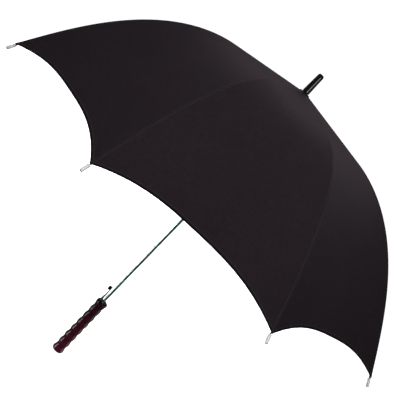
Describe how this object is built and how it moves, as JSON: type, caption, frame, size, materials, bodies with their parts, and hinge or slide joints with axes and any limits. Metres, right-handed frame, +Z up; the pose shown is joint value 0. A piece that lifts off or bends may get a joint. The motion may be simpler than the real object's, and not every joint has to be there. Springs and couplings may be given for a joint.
{
  "type": "golf umbrella",
  "caption": "Open stick umbrella with a dark cloth canopy, bright shaft, wavy turned grip, spring opener and folding ribs",
  "frame": {"origin": "centre of the handle's flat end face, where the shaft's axis leaves the grip", "axes": "+Z runs up the shaft from the handle to the ferrule; the release button is on the -X side, midway between two ribs; the ribs lie 22.5, 67.5, ... degrees from -Y"},
  "size_m": [1.168, 1.168, 1.0445],
  "materials": {
    "canopy_cloth": "matte",
    "shaft_chrome": "polished",
    "handle_lacquer": "gloss",
    "black_gloss": "gloss",
    "black_moulding": "satin",
    "tip_nickel": "satin",
    "bright_steel": "polished",
    "rib_steel": "satin"
  },
  "bodies": {
    "root": {"shaft_tube": "shaft_chrome", "handle_grip": "handle_lacquer", "lever_pin": "bright_steel", "ferrule": "black_gloss", "top_rosette": "black_gloss", "top_notch": "black_moulding", "notch_wire": "bright_steel", "runner_stop": "black_moulding"},
    "runner": {"runner": "black_moulding"},
    "lever": {"release_lever": "bright_steel", "release_button": "black_moulding"},
    "rib_1": {"rib_inner_1": "rib_steel", "canopy_inner_1": "canopy_cloth"},
    "rib_end_1": {"rib_outer_1": "rib_steel", "rib_tip_1": "tip_nickel", "canopy_outer_1": "canopy_cloth"},
    "strut_1": {"stretcher_1": "rib_steel"},
    "rib_2": {"rib_inner_2": "rib_steel", "canopy_inner_2": "canopy_cloth"},
    "rib_end_2": {"rib_outer_2": "rib_steel", "rib_tip_2": "tip_nickel", "canopy_outer_2": "canopy_cloth"},
    "strut_2": {"stretcher_2": "rib_steel"},
    "rib_3": {"rib_inner_3": "rib_steel", "canopy_inner_3": "canopy_cloth"},
    "rib_end_3": {"rib_outer_3": "rib_steel", "rib_tip_3": "tip_nickel", "canopy_outer_3": "canopy_cloth"},
    "strut_3": {"stretcher_3": "rib_steel"},
    "rib_4": {"rib_inner_4": "rib_steel", "canopy_inner_4": "canopy_cloth"},
    "rib_end_4": {"rib_outer_4": "rib_steel", "rib_tip_4": "tip_nickel", "canopy_outer_4": "canopy_cloth"},
    "strut_4": {"stretcher_4": "rib_steel"},
    "rib_5": {"rib_inner_5": "rib_steel", "canopy_inner_5": "canopy_cloth"},
    "rib_end_5": {"rib_outer_5": "rib_steel", "rib_tip_5": "tip_nickel", "canopy_outer_5": "canopy_cloth"},
    "strut_5": {"stretcher_5": "rib_steel"},
    "rib_6": {"rib_inner_6": "rib_steel", "canopy_inner_6": "canopy_cloth"},
    "rib_end_6": {"rib_outer_6": "rib_steel", "rib_tip_6": "tip_nickel", "canopy_outer_6": "canopy_cloth"},
    "strut_6": {"stretcher_6": "rib_steel"},
    "rib_7": {"rib_inner_7": "rib_steel", "canopy_inner_7": "canopy_cloth"},
    "rib_end_7": {"rib_outer_7": "rib_steel", "rib_tip_7": "tip_nickel", "canopy_outer_7": "canopy_cloth"},
    "strut_7": {"stretcher_7": "rib_steel"},
    "rib_8": {"rib_inner_8": "rib_steel", "canopy_inner_8": "canopy_cloth"},
    "rib_end_8": {"rib_outer_8": "rib_steel", "rib_tip_8": "tip_nickel", "canopy_outer_8": "canopy_cloth"},
    "strut_8": {"stretcher_8": "rib_steel"}
  },
  "joints": [
    {"name": "runner_slide", "type": "slide", "parent": "root", "child": "runner", "axis": [0, 0, 1], "range_m": [-0.4756, 0], "stiffness_N_per_m": 40, "springref_m": 0.6},
    {"name": "lever_press", "type": "hinge", "parent": "root", "child": "lever", "pos_m": [-0.009, 0, 0.192], "axis": [0, 1, 0], "range_deg": [0, 1.6], "stiffness_Nm_per_rad": 0.6, "springref_deg": -5.73},
    {"name": "rib_fold_1", "type": "hinge", "parent": "root", "child": "rib_1", "pos_m": [0.00383, -0.00924, 0.9745], "axis": [0.9239, 0.3827, 0], "range_deg": [0, 76.71], "deforming": ["canopy_inner_1"]},
    {"name": "rib_flex_1", "type": "hinge", "parent": "rib_1", "child": "rib_end_1", "pos_m": [0.1264, -0.30517, 0.91178], "axis": [0.9239, 0.3827, 0], "range_deg": [-35.5, 0], "deforming": ["canopy_outer_1"]},
    {"name": "stretcher_fold_1", "type": "hinge", "parent": "rib_1", "child": "strut_1", "pos_m": [0.12569, -0.30345, 0.90802], "axis": [0.9239, 0.3827, 0], "range_deg": [-144.31, 0]},
    {"name": "rib_fold_2", "type": "hinge", "parent": "root", "child": "rib_2", "pos_m": [0.00924, -0.00383, 0.9745], "axis": [0.3827, 0.9239, 0], "range_deg": [0, 76.71], "deforming": ["canopy_inner_2"]},
    {"name": "rib_flex_2", "type": "hinge", "parent": "rib_2", "child": "rib_end_2", "pos_m": [0.30517, -0.1264, 0.91178], "axis": [0.3827, 0.9239, 0], "range_deg": [-35.5, 0], "deforming": ["canopy_outer_2"]},
    {"name": "stretcher_fold_2", "type": "hinge", "parent": "rib_2", "child": "strut_2", "pos_m": [0.30345, -0.12569, 0.90802], "axis": [0.3827, 0.9239, 0], "range_deg": [-144.31, 0]},
    {"name": "rib_fold_3", "type": "hinge", "parent": "root", "child": "rib_3", "pos_m": [0.00924, 0.00383, 0.9745], "axis": [-0.3827, 0.9239, 0], "range_deg": [0, 76.71], "deforming": ["canopy_inner_3"]},
    {"name": "rib_flex_3", "type": "hinge", "parent": "rib_3", "child": "rib_end_3", "pos_m": [0.30517, 0.1264, 0.91178], "axis": [-0.3827, 0.9239, 0], "range_deg": [-35.5, 0], "deforming": ["canopy_outer_3"]},
    {"name": "stretcher_fold_3", "type": "hinge", "parent": "rib_3", "child": "strut_3", "pos_m": [0.30345, 0.12569, 0.90802], "axis": [-0.3827, 0.9239, 0], "range_deg": [-144.31, 0]},
    {"name": "rib_fold_4", "type": "hinge", "parent": "root", "child": "rib_4", "pos_m": [0.00383, 0.00924, 0.9745], "axis": [-0.9239, 0.3827, 0], "range_deg": [0, 76.71], "deforming": ["canopy_inner_4"]},
    {"name": "rib_flex_4", "type": "hinge", "parent": "rib_4", "child": "rib_end_4", "pos_m": [0.1264, 0.30517, 0.91178], "axis": [-0.9239, 0.3827, 0], "range_deg": [-35.5, 0], "deforming": ["canopy_outer_4"]},
    {"name": "stretcher_fold_4", "type": "hinge", "parent": "rib_4", "child": "strut_4", "pos_m": [0.12569, 0.30345, 0.90802], "axis": [-0.9239, 0.3827, 0], "range_deg": [-144.31, 0]},
    {"name": "rib_fold_5", "type": "hinge", "parent": "root", "child": "rib_5", "pos_m": [-0.00383, 0.00924, 0.9745], "axis": [-0.9239, -0.3827, 0], "range_deg": [0, 76.71], "deforming": ["canopy_inner_5"]},
    {"name": "rib_flex_5", "type": "hinge", "parent": "rib_5", "child": "rib_end_5", "pos_m": [-0.1264, 0.30517, 0.91178], "axis": [-0.9239, -0.3827, 0], "range_deg": [-35.5, 0], "deforming": ["canopy_outer_5"]},
    {"name": "stretcher_fold_5", "type": "hinge", "parent": "rib_5", "child": "strut_5", "pos_m": [-0.12569, 0.30345, 0.90802], "axis": [-0.9239, -0.3827, 0], "range_deg": [-144.31, 0]},
    {"name": "rib_fold_6", "type": "hinge", "parent": "root", "child": "rib_6", "pos_m": [-0.00924, 0.00383, 0.9745], "axis": [-0.3827, -0.9239, 0], "range_deg": [0, 76.71], "deforming": ["canopy_inner_6"]},
    {"name": "rib_flex_6", "type": "hinge", "parent": "rib_6", "child": "rib_end_6", "pos_m": [-0.30517, 0.1264, 0.91178], "axis": [-0.3827, -0.9239, 0], "range_deg": [-35.5, 0], "deforming": ["canopy_outer_6"]},
    {"name": "stretcher_fold_6", "type": "hinge", "parent": "rib_6", "child": "strut_6", "pos_m": [-0.30345, 0.12569, 0.90802], "axis": [-0.3827, -0.9239, 0], "range_deg": [-144.31, 0]},
    {"name": "rib_fold_7", "type": "hinge", "parent": "root", "child": "rib_7", "pos_m": [-0.00924, -0.00383, 0.9745], "axis": [0.3827, -0.9239, 0], "range_deg": [0, 76.71], "deforming": ["canopy_inner_7"]},
    {"name": "rib_flex_7", "type": "hinge", "parent": "rib_7", "child": "rib_end_7", "pos_m": [-0.30517, -0.1264, 0.91178], "axis": [0.3827, -0.9239, 0], "range_deg": [-35.5, 0], "deforming": ["canopy_outer_7"]},
    {"name": "stretcher_fold_7", "type": "hinge", "parent": "rib_7", "child": "strut_7", "pos_m": [-0.30345, -0.12569, 0.90802], "axis": [0.3827, -0.9239, 0], "range_deg": [-144.31, 0]},
    {"name": "rib_fold_8", "type": "hinge", "parent": "root", "child": "rib_8", "pos_m": [-0.00383, -0.00924, 0.9745], "axis": [0.9239, -0.3827, 0], "range_deg": [0, 76.71], "deforming": ["canopy_inner_8"]},
    {"name": "rib_flex_8", "type": "hinge", "parent": "rib_8", "child": "rib_end_8", "pos_m": [-0.1264, -0.30517, 0.91178], "axis": [0.9239, -0.3827, 0], "range_deg": [-35.5, 0], "deforming": ["canopy_outer_8"]},
    {"name": "stretcher_fold_8", "type": "hinge", "parent": "rib_8", "child": "strut_8", "pos_m": [-0.12569, -0.30345, 0.90802], "axis": [0.9239, -0.3827, 0], "range_deg": [-144.31, 0]}
  ],
  "couplings": [
    {"joint": "rib_fold_1", "follows": "runner_slide", "rad_per_m": -2.8151},
    {"joint": "rib_flex_1", "follows": "runner_slide", "rad_per_m": 1.3028},
    {"joint": "stretcher_fold_1", "follows": "runner_slide", "rad_per_m": 5.2958},
    {"joint": "rib_fold_2", "follows": "runner_slide", "rad_per_m": -2.8151},
    {"joint": "rib_flex_2", "follows": "runner_slide", "rad_per_m": 1.3028},
    {"joint": "stretcher_fold_2", "follows": "runner_slide", "rad_per_m": 5.2958},
    {"joint": "rib_fold_3", "follows": "runner_slide", "rad_per_m": -2.8151},
    {"joint": "rib_flex_3", "follows": "runner_slide", "rad_per_m": 1.3028},
    {"joint": "stretcher_fold_3", "follows": "runner_slide", "rad_per_m": 5.2958},
    {"joint": "rib_fold_4", "follows": "runner_slide", "rad_per_m": -2.8151},
    {"joint": "rib_flex_4", "follows": "runner_slide", "rad_per_m": 1.3028},
    {"joint": "stretcher_fold_4", "follows": "runner_slide", "rad_per_m": 5.2958},
    {"joint": "rib_fold_5", "follows": "runner_slide", "rad_per_m": -2.8151},
    {"joint": "rib_flex_5", "follows": "runner_slide", "rad_per_m": 1.3028},
    {"joint": "stretcher_fold_5", "follows": "runner_slide", "rad_per_m": 5.2958},
    {"joint": "rib_fold_6", "follows": "runner_slide", "rad_per_m": -2.8151},
    {"joint": "rib_flex_6", "follows": "runner_slide", "rad_per_m": 1.3028},
    {"joint": "stretcher_fold_6", "follows": "runner_slide", "rad_per_m": 5.2958},
    {"joint": "rib_fold_7", "follows": "runner_slide", "rad_per_m": -2.8151},
    {"joint": "rib_flex_7", "follows": "runner_slide", "rad_per_m": 1.3028},
    {"joint": "stretcher_fold_7", "follows": "runner_slide", "rad_per_m": 5.2958},
    {"joint": "rib_fold_8", "follows": "runner_slide", "rad_per_m": -2.8151},
    {"joint": "rib_flex_8", "follows": "runner_slide", "rad_per_m": 1.3028},
    {"joint": "stretcher_fold_8", "follows": "runner_slide", "rad_per_m": 5.2958}
  ]
}
